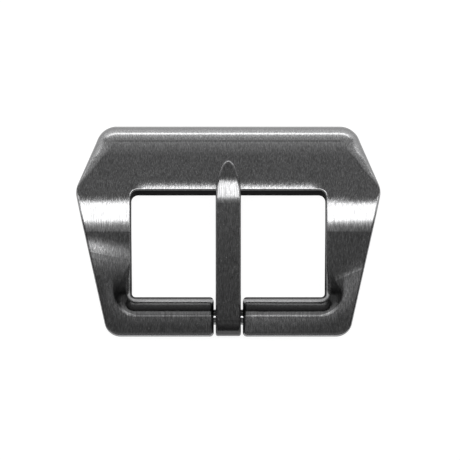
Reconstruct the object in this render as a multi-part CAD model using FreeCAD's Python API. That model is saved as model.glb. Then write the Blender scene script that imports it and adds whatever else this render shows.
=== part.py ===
# Tang buckle for a 24 mm watch strap, in millimetres.
# It lies on its back with its front face up: X across the strap, +Y towards the tang's tip, +Z up.
# The origin is on the supporting surface, below the middle of the frame's width and length.
# The buckle has two pieces. The frame is an arched plate with a window, and its strap bar is part of it.
# The tang is a strip whose end is curled shut round the thin neck in the middle of that bar.

import FreeCAD, Part
import math
import os

from FreeCAD import Vector

# Outline of the frame, seen from the front, before its corners are rounded
frame_length = 26.0
top_width = 31.1
shoulder_width = 37.55
shoulder_drop = 8.0
bottom_width = 29.75
top_corner_radius = 2.6
shoulder_radius = 2.5
bottom_corner_radius = 2.0

# Window for the strap. Its length is measured at the back
strap_width = 24.0
bar_depth = 4.8
window_length = 12.6
window_top_corner = 0.85
window_bottom_corner = 0.45

# Side view of the frame: a flat top rail and flat arms that meet in a knee, and a flat foot at the bar
plate_thickness = 3.2
rail_tilt = 12.0
arm_tilt = 7.5
knee_below_rail = 2.2
knee_radius = 13.0
foot_overlap = 1.4
foot_radius = 5.0

# Edges of the frame. Two of the rounds fade out, with some points between to hold the fade straight
top_edge_round = 2.2
arm_edge_round = 0.3
bottom_edge_round = 0.7
window_edge_round = 0.18
bar_edge_round = 2.0
bar_edge_fade = 3.8
bar_end_round = 0.5
back_bevel = 0.2
fade_points = 2

# Hinge: the curled end of the tang turns on the neck, just inside the frame's back and bottom
neck_diameter = 1.9
neck_clearance = 0.05
curl_thickness = 1.36
curl_inset = 0.04
slot_clearance = 0.25
seam_width = 0.2

# Tang. Its reach and its bend are measured from the window's edge at the top rail
tang_width = 3.1
tang_thickness = 1.6
tang_overlap = 4.3
tang_bend_overlap = 0.7
tang_bend_radius = 10.0
tang_under_radius = 3.5
tang_tip_length = 4.6
tang_rest_gap = 0.08
tang_edge_round = 0.3
tang_under_bevel = 0.12

# Places and angles that follow from the sizes
half_length = frame_length / 2
bar_inner_y = -half_length + bar_depth
rail_edge_y = bar_inner_y + window_length
knee_y = rail_edge_y - knee_below_rail
rail_slope = math.tan(math.radians(rail_tilt))
rail_lean = math.cos(math.radians(rail_tilt))
arm_slope = math.tan(math.radians(arm_tilt))
rail_end_z = plate_thickness / rail_lean - back_bevel * math.sin(math.radians(rail_tilt))
knee_z = rail_end_z + (half_length - knee_y) * rail_slope
slot_width = tang_width + 2 * slot_clearance
curl_radius = neck_diameter / 2 + neck_clearance + curl_thickness
hinge_y = -half_length + curl_radius + curl_inset
hinge_z = curl_radius + curl_inset
bend_y = rail_edge_y + tang_bend_overlap
tip_y = rail_edge_y + tang_overlap
margin = frame_length / 5
tiny = 1e-4


def rail_front_z(y):
    """Height of the top rail's flat front face."""
    return rail_end_z + (half_length - y) * rail_slope


def rail_back_z(y):
    return rail_front_z(y) - plate_thickness / rail_lean


def arm_front_z(y):
    """Height of the arms' flat front face."""
    return knee_z - (knee_y - y) * arm_slope


def is_front(point):
    """True nearer to the frame's front face than to its back."""
    front_z = min(rail_front_z(point.y), arm_front_z(point.y))
    return point.z > front_z - plate_thickness / 2


def rounded_outline(corners, radii):
    """Closed wire through the corners, each one replaced by an arc of its radius (0 keeps it sharp)."""
    edges = []
    starts = []
    ends = []
    for i, corner in enumerate(corners):
        to_last = (corners[i - 1] - corner).normalize()
        to_next = (corners[(i + 1) % len(corners)] - corner).normalize()
        half_angle = to_last.getAngle(to_next) / 2
        reach = radii[i] / math.tan(half_angle)
        starts.append(corner + to_last * reach)
        ends.append(corner + to_next * reach)
        if radii[i] > 0:
            inward = (to_last + to_next).normalize()
            middle = corner + inward * (radii[i] / math.sin(half_angle) - radii[i])
            edges.append(Part.Arc(starts[i], middle, ends[i]).toShape())
    for i, start in enumerate(starts):
        edges.append(Part.LineSegment(ends[i - 1], start).toShape())
    return Part.Wire(Part.__sortEdges__(edges))


def prism_across(corners, radii, width):
    """Solid with the given (y, z) side view, centred on X = 0."""
    points = [Vector(-width / 2, y, z) for y, z in corners]
    return Part.Face(rounded_outline(points, radii)).extrude(Vector(width, 0, 0))


def prism_up(corners, radii, low, high):
    """Solid with the given (x, y) plan, from height low to height high."""
    points = [Vector(x, y, low) for x, y in corners]
    return Part.Face(rounded_outline(points, radii)).extrude(Vector(0, 0, high - low))


def box_between(low, high):
    size = high - low
    return Part.makeBox(size.x, size.y, size.z, low)


def steps(low, high, count):
    """Evenly spaced values between low and high, both left out."""
    return [low + (high - low) * i / (count + 1) for i in range(1, count + 1)]


def between(value, low, high, at_low, at_high):
    """Straight-line blend of a size between two places, held beyond them."""
    share = min(max((value - low) / (high - low), 0.0), 1.0)
    return at_low + (at_high - at_low) * share


def ends_of(edge):
    return edge.valueAt(edge.FirstParameter), edge.valueAt(edge.LastParameter)


def middle_of(edge):
    return edge.valueAt((edge.FirstParameter + edge.LastParameter) / 2)


def normal_at(face, point):
    u, v = face.Surface.parameter(point)
    return face.normalAt(u, v)


def is_sharp(shape, edge):
    """True where the two faces that meet in the edge have different directions."""
    faces = shape.ancestorsOfType(edge, Part.Face)
    normals = [normal_at(face, middle_of(edge)) for face in faces]
    return len(normals) == 2 and normals[0].getAngle(normals[1]) > math.radians(5)


def is_steep(edge):
    """True for an edge that runs from the front towards the back."""
    start, end = ends_of(edge)
    return abs(end.z - start.z) > math.hypot(end.x - start.x, end.y - start.y)


def next_in_chain(left, point):
    """Take the edge that goes on from the point out of the list, with its far end."""
    for pair in left:
        first, last = ends_of(pair[1])
        for near, far in ((first, last), (last, first)):
            if near.distanceToPoint(point) < tiny:
                left.remove(pair)
                return pair[0], far
    return None


def with_fading_round(shape, is_wanted, radius_at):
    """Round the wanted edges by a radius that changes along them."""
    document = FreeCAD.newDocument("rounding")
    base = document.addObject("Part::Feature", "base")
    base.Shape = shape
    left = [pair for pair in enumerate(base.Shape.Edges, start=1) if is_wanted(pair[1])]
    rows = []
    while left:
        number, edge = left.pop(0)
        start, end = ends_of(edge)
        rows.append((number, radius_at(start), radius_at(end)))
        found = next_in_chain(left, end)
        while found:
            rows.append((found[0], radius_at(end), radius_at(found[1])))
            end = found[1]
            found = next_in_chain(left, end)
    fillet = document.addObject("Part::Fillet", "fillet")
    fillet.Base = base
    fillet.Edges = rows
    document.recompute()
    result = fillet.Shape.copy()
    FreeCAD.closeDocument(document.Name)
    return result


def corner_end(corners, index, radius, other):
    """Where the arc at a corner meets the side that leads to the other corner."""
    corner = Vector(*corners[index])
    to_last = (Vector(*corners[index - 1]) - corner).normalize()
    to_next = (Vector(*corners[index + 1]) - corner).normalize()
    reach = radius / math.tan(to_last.getAngle(to_next) / 2)
    return corner + (to_last if other < index else to_next) * reach


# Corners of the outline down its right side, with those of the top and bottom edge on the left
side_corners = [
    (-top_width / 2, half_length),
    (top_width / 2, half_length),
    (shoulder_width / 2, half_length - shoulder_drop),
    (bottom_width / 2, -half_length),
    (-bottom_width / 2, -half_length),
]
shoulder_top = corner_end(side_corners, 1, top_corner_radius, 2)
shoulder_bottom = corner_end(side_corners, 2, shoulder_radius, 1)
arm_bottom = corner_end(side_corners, 3, bottom_corner_radius, 2)
fade_bottom_y = bar_inner_y + window_bottom_corner
fade_top_y = fade_bottom_y + bar_edge_fade


def outer_round(point):
    """The top edge is rounded most, and that fades out down the shoulders."""
    if point.y > shoulder_bottom.y:
        return between(point.y, shoulder_bottom.y, shoulder_top.y, arm_edge_round, top_edge_round)
    return between(point.y, -half_length, arm_bottom.y, bottom_edge_round, arm_edge_round)


def window_round(point):
    """The strap bar's inner edge is rounded most, and that fades out up the arms."""
    return between(point.y, fade_bottom_y, fade_top_y, bar_edge_round, window_edge_round)


def in_window(point):
    front_y = rail_edge_y + plate_thickness * rail_slope
    return abs(point.x) < strap_width / 2 + tiny and bar_inner_y - tiny < point.y < front_y + tiny


def arched_plate():
    """The frame's side view, carried across and trimmed to the outline."""
    top_y = half_length + margin
    bottom_y = -half_length - margin
    side_view = [
        (top_y, rail_front_z(top_y)),
        (knee_y, knee_z),
        (bottom_y, arm_front_z(bottom_y)),
        (bottom_y, 0),
        (bar_inner_y + foot_overlap, 0),
        (knee_y, rail_back_z(knee_y)),
        (top_y, rail_back_z(top_y)),
    ]
    bends = [0, knee_radius, 0, 0, foot_radius, knee_radius - plate_thickness, 0]
    plate = prism_across(side_view, bends, shoulder_width + margin)

    shares = steps(0, 1, fade_points)
    on_shoulder = [shoulder_top + (shoulder_bottom - shoulder_top) * share for share in shares]
    right = [side_corners[1]] + [(point.x, point.y) for point in on_shoulder] + side_corners[2:4]
    right_radii = [top_corner_radius] + [0] * fade_points + [shoulder_radius, bottom_corner_radius]
    left = [(-x, y) for x, y in reversed(right)]
    radii = right_radii + right_radii[::-1]
    return plate.common(prism_up(right + left, radii, -margin, knee_z + margin))


def window():
    """Space of the window: upright at the strap bar, square to the tilted rail at the top."""
    low = -margin
    high = knee_z + margin
    back_z = rail_back_z(rail_edge_y)
    side_view = [
        (bar_inner_y, low),
        (bar_inner_y, high),
        (rail_edge_y + (high - back_z) * rail_slope, high),
        (rail_edge_y + (low - back_z) * rail_slope, low),
    ]
    space = prism_across(side_view, [0, 0, 0, 0], strap_width)
    middle_y = bar_inner_y + window_length / 2

    def corners(at_top):
        steep = [edge for edge in space.Edges if is_steep(edge) and is_sharp(space, edge)]
        return [edge for edge in steep if (middle_of(edge).y > middle_y) == at_top]

    space = space.makeFillet(window_bottom_corner, corners(False))
    return space.makeFillet(window_top_corner, corners(True))


def with_window(body):
    """Cut the window in slices, whose joints hold the fade of the round edge straight."""
    space = window()
    fade = steps(fade_bottom_y, fade_top_y, fade_points)
    levels = [-half_length, fade_bottom_y] + fade + [fade_top_y, half_length]
    for low_y, high_y in zip(levels, levels[1:]):
        low = Vector(-shoulder_width / 2, low_y, -margin)
        high = Vector(shoulder_width / 2, high_y, knee_z + margin)
        body = body.cut(space.common(box_between(low, high)))
    return body


def with_front_rounds(body):
    def is_wanted(edge):
        return is_front(middle_of(edge)) and not is_steep(edge) and is_sharp(body, edge)

    def radius_at(point):
        return window_round(point) if in_window(point) else outer_round(point)

    return with_fading_round(body, is_wanted, radius_at)


def with_slot(body):
    """Gap in the strap bar for the tang, with the two bar ends rounded towards it."""
    low = Vector(-slot_width / 2, -half_length - margin, -margin)
    high = Vector(slot_width / 2, bar_inner_y + margin, knee_z + margin)
    body = body.cut(box_between(low, high))

    def is_bar_end(edge):
        at_slot = all(abs(abs(point.x) - slot_width / 2) < tiny for point in ends_of(edge))
        return at_slot and middle_of(edge).z > tiny

    return body.makeFillet(bar_end_round, [edge for edge in body.Edges if is_bar_end(edge)])


def with_back_bevel(body):
    def is_wanted(edge):
        return not is_front(middle_of(edge)) and not is_steep(edge) and is_sharp(body, edge)

    return body.makeChamfer(back_bevel, [edge for edge in body.Edges if is_wanted(edge)])


def frame():
    """The plate with its window and slot, and the neck that joins the two halves of the bar."""
    body = with_window(arched_plate())
    body = with_front_rounds(body)
    body = with_slot(body)
    body = with_back_bevel(body)
    neck_length = slot_width + 2 * bar_end_round
    neck_start = Vector(-neck_length / 2, hinge_y, hinge_z)
    neck = Part.makeCylinder(neck_diameter / 2, neck_length, neck_start, Vector(1, 0, 0))
    return body.fuse(neck).Solids[0]


def tip_under_z(y):
    """Height of the underside of the tang's tip, which lies along the top rail."""
    return rail_front_z(y) + tang_rest_gap / rail_lean


def tip_top_z(y):
    return tip_under_z(y) + tang_thickness / rail_lean


# The shank leaves the curl on its tangent and runs up to the bend
bend_reach = math.hypot(bend_y - hinge_y, tip_top_z(bend_y) - hinge_z)
bend_rise = math.atan2(tip_top_z(bend_y) - hinge_z, bend_y - hinge_y)
shank_tilt = bend_rise - math.asin(curl_radius / bend_reach)
shank_under = curl_radius - tang_thickness


def on_shank(along, above):
    """The (y, z) of a point measured from the hinge, along the shank and square to it."""
    y = hinge_y + along * math.cos(shank_tilt) - above * math.sin(shank_tilt)
    z = hinge_z + along * math.sin(shank_tilt) + above * math.cos(shank_tilt)
    return y, z


def from_hinge(point):
    """Distances of a point from the hinge, along the shank and square to it."""
    y = point.y - hinge_y
    z = point.z - hinge_z
    along = y * math.cos(shank_tilt) + z * math.sin(shank_tilt)
    return along, z * math.cos(shank_tilt) - y * math.sin(shank_tilt)


def tang_plan():
    """The tang seen from the front: straight sides and an elliptical tip."""
    half = tang_width / 2
    tip_start_y = tip_y - tang_tip_length
    centre = Vector(0, tip_start_y, 0)
    ellipse = Part.Ellipse(Vector(0, tip_y, 0), Vector(-half, tip_start_y, 0), centre)
    tip = Part.ArcOfEllipse(ellipse, -math.pi / 2, math.pi / 2).toShape()
    corners = [
        Vector(half, tip_start_y, 0),
        Vector(half, hinge_y - margin, 0),
        Vector(-half, hinge_y - margin, 0),
        Vector(-half, tip_start_y, 0),
    ]
    sides = [Part.LineSegment(a, b).toShape() for a, b in zip(corners, corners[1:])]
    outline = Part.Wire(Part.__sortEdges__(sides + [tip]))
    return Part.Face(outline).extrude(Vector(0, 0, knee_z + margin))


def tang_strip():
    """The shank and the tip, before the tip is cut to its plan."""
    end_y = tip_y + margin
    turn = shank_tilt + math.radians(rail_tilt)
    bend_along = bend_reach * math.cos(bend_rise - shank_tilt)
    side_view = [
        on_shank(0, curl_radius),
        (bend_y, tip_top_z(bend_y)),
        (end_y, tip_top_z(end_y)),
        (end_y, tip_under_z(end_y)),
        on_shank(bend_along - tang_thickness * math.tan(turn / 2), shank_under),
        on_shank(0, shank_under),
    ]
    return prism_across(side_view, [0, tang_bend_radius, 0, 0, tang_under_radius, 0], tang_width)


def tang_curl():
    """The round end of the strip, parted by the seam where its end meets the shank's underside."""
    start = Vector(-tang_width / 2, hinge_y, hinge_z)
    seam = [
        on_shank(0, shank_under),
        on_shank(curl_radius, shank_under),
        on_shank(curl_radius, shank_under - seam_width),
        on_shank(0, shank_under - seam_width),
    ]
    curl = Part.makeCylinder(curl_radius, tang_width, start, Vector(1, 0, 0))
    return curl.cut(prism_across(seam, [0, 0, 0, 0], tang_width))


def side_edges(body):
    """Edges of the tang's upright sides, apart from those in the seam."""

    def is_side(face):
        normal = normal_at(face, face.CenterOfMass)
        return abs(normal.z) < tiny and normal.y > -1 + tiny

    def in_seam(edge):
        along, above = from_hinge(middle_of(edge))
        return math.hypot(along, above) < curl_radius - tiny and above < shank_under - tiny

    def is_side_edge(edge):
        sides = [face for face in body.ancestorsOfType(edge, Part.Face) if is_side(face)]
        return len(sides) == 1 and is_sharp(body, edge)

    return [edge for edge in body.Edges if is_side_edge(edge) and not in_seam(edge)]


def is_lower(edge):
    """True for an edge of the underside of the shank or the tip."""
    point = middle_of(edge)
    if point.y > bend_y:
        return point.z < (tip_under_z(point.y) + tip_top_z(point.y)) / 2
    along, above = from_hinge(point)
    return along > 0 and above < curl_radius - tang_thickness / 2


def tang():
    body = tang_curl().fuse(tang_strip()).common(tang_plan()).removeSplitter()
    upper = [edge for edge in side_edges(body) if not is_lower(edge)]
    body = body.makeFillet(tang_edge_round, upper)
    lower = [edge for edge in side_edges(body) if is_lower(edge)]
    body = body.makeChamfer(tang_under_bevel, lower)
    bore_radius = neck_diameter / 2 + neck_clearance
    start = Vector(-tang_width / 2, hinge_y, hinge_z)
    return body.cut(Part.makeCylinder(bore_radius, tang_width, start, Vector(1, 0, 0))).Solids[0]


os.makedirs("parts", exist_ok=True)
frame().exportStep("parts/frame.step")
tang().exportStep("parts/tang.step")
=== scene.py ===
import math

import bpy
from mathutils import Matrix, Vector

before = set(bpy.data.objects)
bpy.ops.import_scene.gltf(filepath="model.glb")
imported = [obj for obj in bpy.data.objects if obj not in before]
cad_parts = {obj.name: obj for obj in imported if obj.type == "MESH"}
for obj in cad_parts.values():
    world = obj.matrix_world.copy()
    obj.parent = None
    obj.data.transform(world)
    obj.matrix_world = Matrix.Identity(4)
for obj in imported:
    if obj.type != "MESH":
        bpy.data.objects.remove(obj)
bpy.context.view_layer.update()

MM = 0.001

# Camera, which looks straight down on the front
CAMERA_PLACE = (0.21 * MM, 0.17 * MM, 300 * MM)
CAMERA_TURN = (0.0, 0.0, 0.0)
CAMERA_LENS = 188.4
CAMERA_SENSOR = 36.0
CAMERA_NEAREST = 0.01

# Brushed steel. Grain sizes are in mm along X, Y and Z of the piece, tones are stops of (grain, grey)
BRUSH_DIRECTION = (0.04, 1.0, 0.06)
STEEL_TINT = (0.99, 0.99, 1.0)
BRIGHTEST = 0.95
SCRATCH_SIZE = (0.08, 1.6, 0.08)
PATCH_SIZE = (0.6, 7.0, 0.6)
SPECK_SIZE = (0.10, 0.22, 0.10)
SCRATCH_TONES = [(0.3, 0.22), (0.5, 0.36), (0.7, 0.54)]
SPECK_GLINTS = [(0.64, 0.0), (0.76, 0.25)]
ROUGHNESS = 0.14
SCRATCH_ROUGHNESS = 0.10
PATCH_ROUGHNESS = 0.06
ANISOTROPY = 0.9
SCRATCH_DEPTH = 0.02
SCRATCH_STRENGTH = 0.2
SPECK_SHARE = 0.2
# Painted shade: the tang's steel grey is drawn darker than the frame's by this factor
TANG_SHADE = 0.75
TANG_GRAIN_SHIFT = 0.37

# Painted shade: factors on the steel's grey by how level a face lies on the piece as modelled, from 0
# upright to 1 level, which draw steep and upright faces darker. The tang's curl is what lies below
# CURL_START mm in Y
LEVEL_SHADE_TONES = [(0.0, 0.75), (0.2, 0.45), (0.5, 0.6), (0.75, 1.0)]
# Painted shade on the tang's curl: its grey by how level it lies, darker where it turns down
CURL_SHADE_TONES = [(0.0, 0.3), (0.5, 0.25), (0.85, 0.3), (0.93, 0.45), (0.97, 1.0)]
CURL_START = -9.0

# Window of the frame in mm, and its walls, which are drawn as a dull non-metal in painted shade.
# WALL_LEVELS says how much of a wall a face is, by how level it lies
WINDOW_HALF_WIDTH = 12.0
WINDOW_BOTTOM = -8.2
WINDOW_TOP = 5.1
WALL_MARGIN = 0.15
WALL_LEVELS = [(0.25, 1.0), (0.45, 0.0)]
WALL_SHADE_TONE = 0.3

# Strap bar's rounded slope in mm. Its factors on the steel's grey paint light and shade there, running
# outwards
# from the window: the edge in painted shade, a painted highlight line, the painted shade of the slope
# from its start to its end, its painted light border and the plain front
SLOPE_REACH = 4.0
SLOPE_CORNER = 1.0
SLOPE_FADE = 4.0
SLOPE_LIGHT_AND_SHADE_TONES = [
    (0.0, 0.6),
    (0.1, 1.5),
    (0.18, 0.12),
    (0.5, 0.1),
    (0.6, 1.6),
    (0.9, 1.0),
]

# Unevenness of the hand-polished front in the bump, as (Y, height) in mm. The left arm is on -X. A wave
# runs towards the rail by its lean for each mm away from the window. At the window it has only
# WAVE_AT_WINDOW of its height, and all of it from WAVE_REACH mm away
LEFT_WAVE = [
    (-13.0, 0.237),
    (-7.0, 0.237),
    (-6.0, 0.232),
    (-5.0, 0.212),
    (-4.2, 0.18),
    (-3.5, 0.138),
    (-3.0, 0.098),
    (-2.5, 0.05),
    (-2.0, 0.013),
    (-1.5, 0.0),
    (3.0, 0.0),
]
RIGHT_WAVE = [
    (-13.0, 0.22),
    (-11.0, 0.201),
    (-9.5, 0.156),
    (-8.0, 0.093),
    (-6.6, 0.03),
    (-6.0, 0.01),
    (-5.0, 0.0),
    (-1.5, 0.02),
    (0.8, 0.04),
    (3.0, 0.0),
]
TOP_ROLL = [(8.6, 0.2), (9.6, 0.196), (10.3, 0.178), (11.0, 0.148), (13.0, 0.05)]
LEFT_WAVE_LEAN = 0.2
RIGHT_WAVE_LEAN = 0.45
WAVE_AT_WINDOW = 0.55
WAVE_REACH = 4.0
WAVE_SCALE = 0.25

# Roll of the rail down to the window's top edge in mm, which fades in beside the window's corners
ROLL_LENGTH = 1.3
ROLL_DROP = 0.06
ROLL_FADE = 2.0

# Studio, with the floor's size in metres. The sky's greys go by a direction's Y, where +Y is the rail's
# side, with a factor by the size of its X. The camera and reflections see the floor in
# FLOOR_SEEN_COLOUR with FLOOR_GLOW added, and its light falls on the buckle as from FLOOR_COLOUR
SKY_ACROSS = [
    (-1.0, 0.12),
    (-0.75, 0.2),
    (-0.5, 0.12),
    (-0.36, 0.08),
    (-0.26, 0.08),
    (-0.17, 0.3),
    (-0.08, 0.9),
    (0.26, 0.9),
    (0.32, 0.15),
    (0.41, 0.11),
    (0.46, 0.18),
    (0.52, 0.39),
    (0.71, 0.56),
    (0.86, 0.8),
    (1.0, 1.0),
]
SKY_SIDES = [(0.3, 1.0), (0.9, 0.75)]
FLOOR_HALF = 1.5
FLOOR_COLOUR = 0.8
FLOOR_SEEN_COLOUR = 0.25
FLOOR_GLOW = 0.9


def new_node(tree, kind, **sockets):
    """Add a node and set or link its inputs. _0 is the first input, other underscores are spaces."""
    node = tree.nodes.new(kind)
    for name, value in sockets.items():
        socket = node.inputs[int(name[1:]) if name.startswith("_") else name.replace("_", " ")]
        if isinstance(value, bpy.types.NodeSocket):
            tree.links.new(value, socket)
        else:
            socket.default_value = value
    return node


def maths(tree, operation, *values):
    node = new_node(tree, "ShaderNodeMath", **{f"_{i}": value for i, value in enumerate(values)})
    node.operation = operation
    return node.outputs[0]


def vector_maths(tree, operation, *values):
    node = new_node(tree, "ShaderNodeVectorMath", **{f"_{i}": value for i, value in enumerate(values)})
    node.operation = operation
    return node.outputs[0]


def axes(tree, vector):
    """X, Y and Z of a vector."""
    return new_node(tree, "ShaderNodeSeparateXYZ", Vector=vector).outputs


def between(tree, share, start, end):
    """start where share is 0, end where it is 1."""
    change = maths(tree, "SUBTRACT", end, start)
    return maths(tree, "ADD", start, maths(tree, "MULTIPLY", share, change))


def ramp(tree, value, stops, interpolation="LINEAR"):
    """Greys through (place, grey) stops."""
    node = new_node(tree, "ShaderNodeValToRGB", Fac=value)
    node.color_ramp.interpolation = interpolation
    elements = node.color_ramp.elements
    while len(elements) < len(stops):
        elements.new(1.0)
    for element, (place, grey) in zip(elements, stops):
        element.position = place
        element.color = (grey, grey, grey, 1.0)
    return node.outputs["Color"]


def eased(tree, value):
    """Goes smoothly from 0 to 1 as value does."""
    return ramp(tree, value, [(0.0, 0.0), (1.0, 1.0)], "EASE")


def noise(tree, place, size_mm, detail=2.0, roughness=0.5):
    """Noise whose features are about size_mm long along X, Y and Z of the piece."""
    scale = tuple(1.0 / (size * MM) for size in size_mm)
    node = new_node(
        tree,
        "ShaderNodeTexNoise",
        Vector=vector_maths(tree, "MULTIPLY", place, scale),
        Scale=1.0,
        Detail=detail,
        Roughness=roughness,
    )
    return node.outputs["Fac"]


def new_material(name):
    material = bpy.data.materials.new(name)
    material.use_nodes = True
    material.node_tree.nodes.clear()
    return material, material.node_tree


def brush_tangent(tree):
    """Tangent that spreads highlights across the brush lines."""
    brush = new_node(tree, "ShaderNodeVectorTransform", Vector=BRUSH_DIRECTION)
    brush.vector_type = "VECTOR"
    brush.convert_from = "OBJECT"
    brush.convert_to = "WORLD"
    normal = new_node(tree, "ShaderNodeNewGeometry").outputs["Normal"]
    return vector_maths(tree, "CROSS_PRODUCT", normal, brush.outputs[0])


def levelness(tree):
    """1 on level faces and 0 on upright ones, of the piece as modelled."""
    facing = new_node(tree, "ShaderNodeTexCoord").outputs["Normal"]
    return maths(tree, "ABSOLUTE", axes(tree, facing)["Z"])


def on_window_walls(tree, place):
    """1 on the upright walls of the window, 0 elsewhere."""
    x, y, _ = axes(tree, place)
    across = maths(tree, "ABSOLUTE", x)
    limits = [
        maths(tree, "LESS_THAN", across, (WINDOW_HALF_WIDTH + WALL_MARGIN) * MM),
        maths(tree, "LESS_THAN", y, (WINDOW_TOP + WALL_MARGIN) * MM),
        maths(tree, "GREATER_THAN", y, (WINDOW_BOTTOM - WALL_MARGIN) * MM),
    ]
    walls = ramp(tree, levelness(tree), WALL_LEVELS)
    for within in limits:
        walls = maths(tree, "MULTIPLY", walls, within)
    return walls


def slope_painted_light(tree, place):
    """Painted shade and highlights on the strap bar's rounded slope, which fade out up the arms."""
    x, y, _ = axes(tree, place)
    corner = SLOPE_CORNER * MM
    beside = maths(tree, "SUBTRACT", maths(tree, "ABSOLUTE", x), WINDOW_HALF_WIDTH * MM - corner)
    below = maths(tree, "SUBTRACT", WINDOW_BOTTOM * MM + corner, y)
    squares = [
        maths(tree, "POWER", maths(tree, "MAXIMUM", distance, 0.0), 2.0)
        for distance in (beside, below)
    ]
    from_window = maths(tree, "SUBTRACT", maths(tree, "SQRT", maths(tree, "ADD", *squares)), corner)
    # Painted light and shade by distance from the window
    tone = ramp(tree, maths(tree, "DIVIDE", from_window, SLOPE_REACH * MM), SLOPE_LIGHT_AND_SHADE_TONES, "EASE")
    up_arm = maths(tree, "SUBTRACT", y, WINDOW_BOTTOM * MM)
    fade = eased(tree, maths(tree, "DIVIDE", up_arm, SLOPE_FADE * MM))
    return between(tree, fade, tone, 1.0)


def height_along(tree, y, points):
    """Height of an uneven front at y, in steps of WAVE_SCALE mm."""
    first, last = points[0][0], points[-1][0]
    place = maths(tree, "DIVIDE", maths(tree, "SUBTRACT", y, first * MM), (last - first) * MM)
    stops = [((at - first) / (last - first), height / WAVE_SCALE) for at, height in points]
    return ramp(tree, place, stops, "B_SPLINE")


def arm_wave(tree, y, beside_window, points, lean):
    """Height of one arm's polishing waves."""
    return height_along(tree, maths(tree, "MULTIPLY_ADD", beside_window, -lean, y), points)


def window_roll(tree, y, beside_window):
    """How far the rail drops towards the window's top edge, in steps of WAVE_SCALE mm."""
    above = maths(tree, "SUBTRACT", y, WINDOW_TOP * MM)
    above = maths(tree, "DIVIDE", above, ROLL_LENGTH * MM)
    on_rail = maths(tree, "GREATER_THAN", above, 0.0)
    above = maths(tree, "MINIMUM", maths(tree, "MAXIMUM", above, 0.0), 1.0)
    depth = maths(tree, "POWER", maths(tree, "SUBTRACT", 1.0, above), 2.0)
    drop = maths(tree, "MULTIPLY", depth, ROLL_DROP / WAVE_SCALE)
    off_corner = eased(tree, maths(tree, "DIVIDE", beside_window, -ROLL_FADE * MM))
    return maths(tree, "MULTIPLY", drop, maths(tree, "MULTIPLY", on_rail, off_corner))


def front_relief(tree, place):
    """Height of the waves, the window's roll and the top round's run-in, in steps of WAVE_SCALE mm."""
    x, y, _ = axes(tree, place)
    beside_window = maths(tree, "SUBTRACT", maths(tree, "ABSOLUTE", x), WINDOW_HALF_WIDTH * MM)
    left = arm_wave(tree, y, beside_window, LEFT_WAVE, LEFT_WAVE_LEAN)
    right = arm_wave(tree, y, beside_window, RIGHT_WAVE, RIGHT_WAVE_LEAN)
    waves = between(tree, maths(tree, "GREATER_THAN", x, 0.0), left, right)
    across = maths(tree, "DIVIDE", beside_window, WAVE_REACH * MM)
    waves = maths(tree, "MULTIPLY", waves, ramp(tree, across, [(0.0, WAVE_AT_WINDOW), (1.0, 1.0)]))
    waves = maths(tree, "SUBTRACT", waves, window_roll(tree, y, beside_window))
    return maths(tree, "ADD", waves, height_along(tree, y, TOP_ROLL))


def frame_finish_and_painted_light(tree, place):
    """Tone with painted shade and highlights, metallic share and relief of the frame."""
    walls = on_window_walls(tree, place)
    # Painted shade: the window's walls are drawn dark
    wall_painted_shade = ramp(tree, walls, [(0.0, 1.0), (1.0, WALL_SHADE_TONE)])
    # Painted light and shade of the bar's slope, times the walls' painted shade
    tone = maths(tree, "MULTIPLY", slope_painted_light(tree, place), wall_painted_shade)
    metallic = maths(tree, "SUBTRACT", 1.0, walls)
    return tone, metallic, front_relief(tree, place)


def tang_finish_and_painted_shade(tree, place):
    """Tone, metallic share and relief (none) of the tang. Its curl is painted darker where it turns
    down, as painted shade.
    """
    on_curl = maths(tree, "LESS_THAN", axes(tree, place)["Y"], CURL_START * MM)
    # Painted shade on the curl, below CURL_START
    tone = between(tree, on_curl, 1.0, ramp(tree, levelness(tree), CURL_SHADE_TONES))
    return tone, 1.0, None


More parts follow.
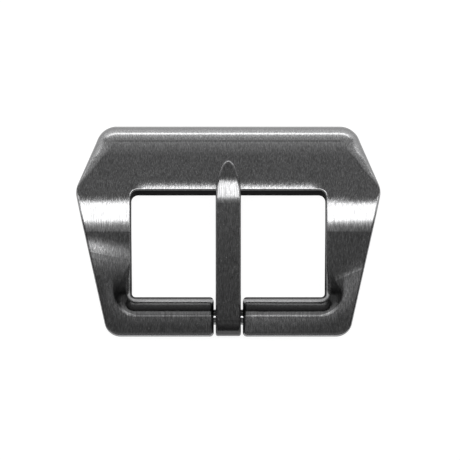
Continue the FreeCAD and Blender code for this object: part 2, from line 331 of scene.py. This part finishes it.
def brushed_steel(name, finish, painted_shade=1.0, shift=0.0):
    """Steel brushed along the buckle, with scratches, specks, painted shade on steep faces and the
    piece's own finish with its painted light and shade.
    """
    material, tree = new_material(name)
    place = new_node(tree, "ShaderNodeTexCoord").outputs["Object"]
    grain = vector_maths(tree, "ADD", place, (shift, shift / 2, shift / 3))
    scratches = noise(tree, grain, SCRATCH_SIZE, detail=2.0, roughness=0.6)
    patches = noise(tree, grain, PATCH_SIZE, detail=2.0)
    specks = noise(tree, grain, SPECK_SIZE, detail=1.0)
    painted_tone, metallic, relief = finish(tree, place)

    # Painted shade scales the grain's grey; the tang's is drawn darker than the frame's
    tone = ramp(tree, scratches, [(at, grey * painted_shade) for at, grey in SCRATCH_TONES])
    tone = maths(tree, "ADD", tone, ramp(tree, specks, SPECK_GLINTS))
    # Painted shade: steep and upright faces are drawn darker by how level they lie
    tone = maths(tree, "MULTIPLY", tone, ramp(tree, levelness(tree), LEVEL_SHADE_TONES))
    # The piece's painted light and shade multiply the grey
    tone = maths(tree, "MINIMUM", maths(tree, "MULTIPLY", tone, painted_tone), BRIGHTEST)

    roughness = maths(tree, "MULTIPLY_ADD", scratches, SCRATCH_ROUGHNESS, ROUGHNESS)
    roughness = maths(tree, "MULTIPLY_ADD", patches, PATCH_ROUGHNESS, roughness)

    bump = new_node(
        tree,
        "ShaderNodeBump",
        Strength=SCRATCH_STRENGTH,
        Distance=SCRATCH_DEPTH * MM,
        Height=maths(tree, "MULTIPLY_ADD", specks, SPECK_SHARE, scratches),
    )
    if relief is not None:
        uneven = new_node(
            tree,
            "ShaderNodeBump",
            Strength=1.0,
            Distance=WAVE_SCALE * MM,
            Height=relief,
        )
        tree.links.new(uneven.outputs["Normal"], bump.inputs["Normal"])

    shader = new_node(
        tree,
        "ShaderNodeBsdfPrincipled",
        Base_Color=vector_maths(tree, "MULTIPLY", tone, STEEL_TINT),
        Metallic=metallic,
        Specular_IOR_Level=0.0,
        Roughness=roughness,
        Anisotropic=ANISOTROPY,
        Normal=bump.outputs["Normal"],
        Tangent=brush_tangent(tree),
    )
    new_node(tree, "ShaderNodeOutputMaterial", Surface=shader.outputs[0])
    return material


def floor_material():
    """Pale and matt. The camera and reflections see it near white, with the buckle's soft shadow."""
    material, tree = new_material("floor")
    path = new_node(tree, "ShaderNodeLightPath").outputs
    seen = maths(tree, "ADD", path["Is Camera Ray"], path["Is Glossy Ray"])
    seen = maths(tree, "ADD", seen, path["Is Transmission Ray"])
    seen = maths(tree, "MINIMUM", seen, 1.0)
    shader = new_node(
        tree,
        "ShaderNodeBsdfPrincipled",
        Base_Color=ramp(tree, seen, [(0.0, FLOOR_COLOUR), (1.0, FLOOR_SEEN_COLOUR)]),
        Roughness=1.0,
        Specular_IOR_Level=0.0,
        Emission_Color=(1.0, 1.0, 1.0, 1.0),
        Emission_Strength=maths(tree, "MULTIPLY", seen, FLOOR_GLOW),
    )
    new_node(tree, "ShaderNodeOutputMaterial", Surface=shader.outputs[0])
    return material


def make_floor():
    mesh = bpy.data.meshes.new("floor")
    half = FLOOR_HALF
    corners = [(-half, -half, 0), (half, -half, 0), (half, half, 0), (-half, half, 0)]
    mesh.from_pydata(corners, [], [(0, 1, 2, 3)])
    mesh.materials.append(floor_material())
    floor = bpy.data.objects.new("floor", mesh)
    bpy.context.scene.collection.objects.link(floor)


def make_world():
    """A plain studio, paler towards the horizon on the rail's side."""
    world = bpy.data.worlds.new("studio")
    world.use_nodes = True
    tree = world.node_tree
    tree.nodes.clear()
    x, y, _ = axes(tree, new_node(tree, "ShaderNodeTexCoord").outputs["Generated"])
    place = maths(tree, "MULTIPLY_ADD", y, 0.5, 0.5)
    across = ramp(tree, place, [((at + 1) / 2, grey) for at, grey in SKY_ACROSS])
    sides = ramp(tree, maths(tree, "ABSOLUTE", x), SKY_SIDES)
    sky = maths(tree, "MULTIPLY", across, sides)
    background = new_node(tree, "ShaderNodeBackground", Color=sky, Strength=1.0)
    new_node(tree, "ShaderNodeOutputWorld", Surface=background.outputs[0])
    bpy.context.scene.world = world


def area_light(name, elevation, distance, width, height, radiance):
    """Soft box on the rail's side, aimed at the buckle. Lengths are in metres."""
    data = bpy.data.lights.new(name, "AREA")
    data.shape = "RECTANGLE"
    data.size = width
    data.size_y = height
    data.energy = radiance * math.pi * width * height
    light = bpy.data.objects.new(name, data)
    angle = math.radians(elevation)
    towards = Vector((0.0, math.cos(angle), math.sin(angle)))
    light.location = towards * distance
    light.rotation_mode = "QUATERNION"
    light.rotation_quaternion = towards.to_track_quat("Z", "Y")
    bpy.context.scene.collection.objects.link(light)


def make_camera():
    data = bpy.data.cameras.new("camera")
    data.lens = CAMERA_LENS
    data.sensor_width = CAMERA_SENSOR
    data.clip_start = CAMERA_NEAREST
    camera = bpy.data.objects.new("camera", data)
    camera.location = CAMERA_PLACE
    camera.rotation_euler = CAMERA_TURN
    bpy.context.scene.collection.objects.link(camera)
    bpy.context.scene.camera = camera


bpy.context.scene.view_settings.view_transform = "Standard"
make_camera()
make_world()
make_floor()
area_light("key", elevation=82.5, distance=0.6, width=0.55, height=0.233, radiance=2.6)
area_light("back", elevation=14, distance=0.7, width=1.2, height=0.14, radiance=2.2)

steels = {
    "frame": brushed_steel("frame_brushed", frame_finish_and_painted_light),
    "tang": brushed_steel("tang_brushed", tang_finish_and_painted_shade, painted_shade=TANG_SHADE, shift=TANG_GRAIN_SHIFT),
}
for node_name, steel in steels.items():
    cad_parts[node_name].material_slots[0].material = steel
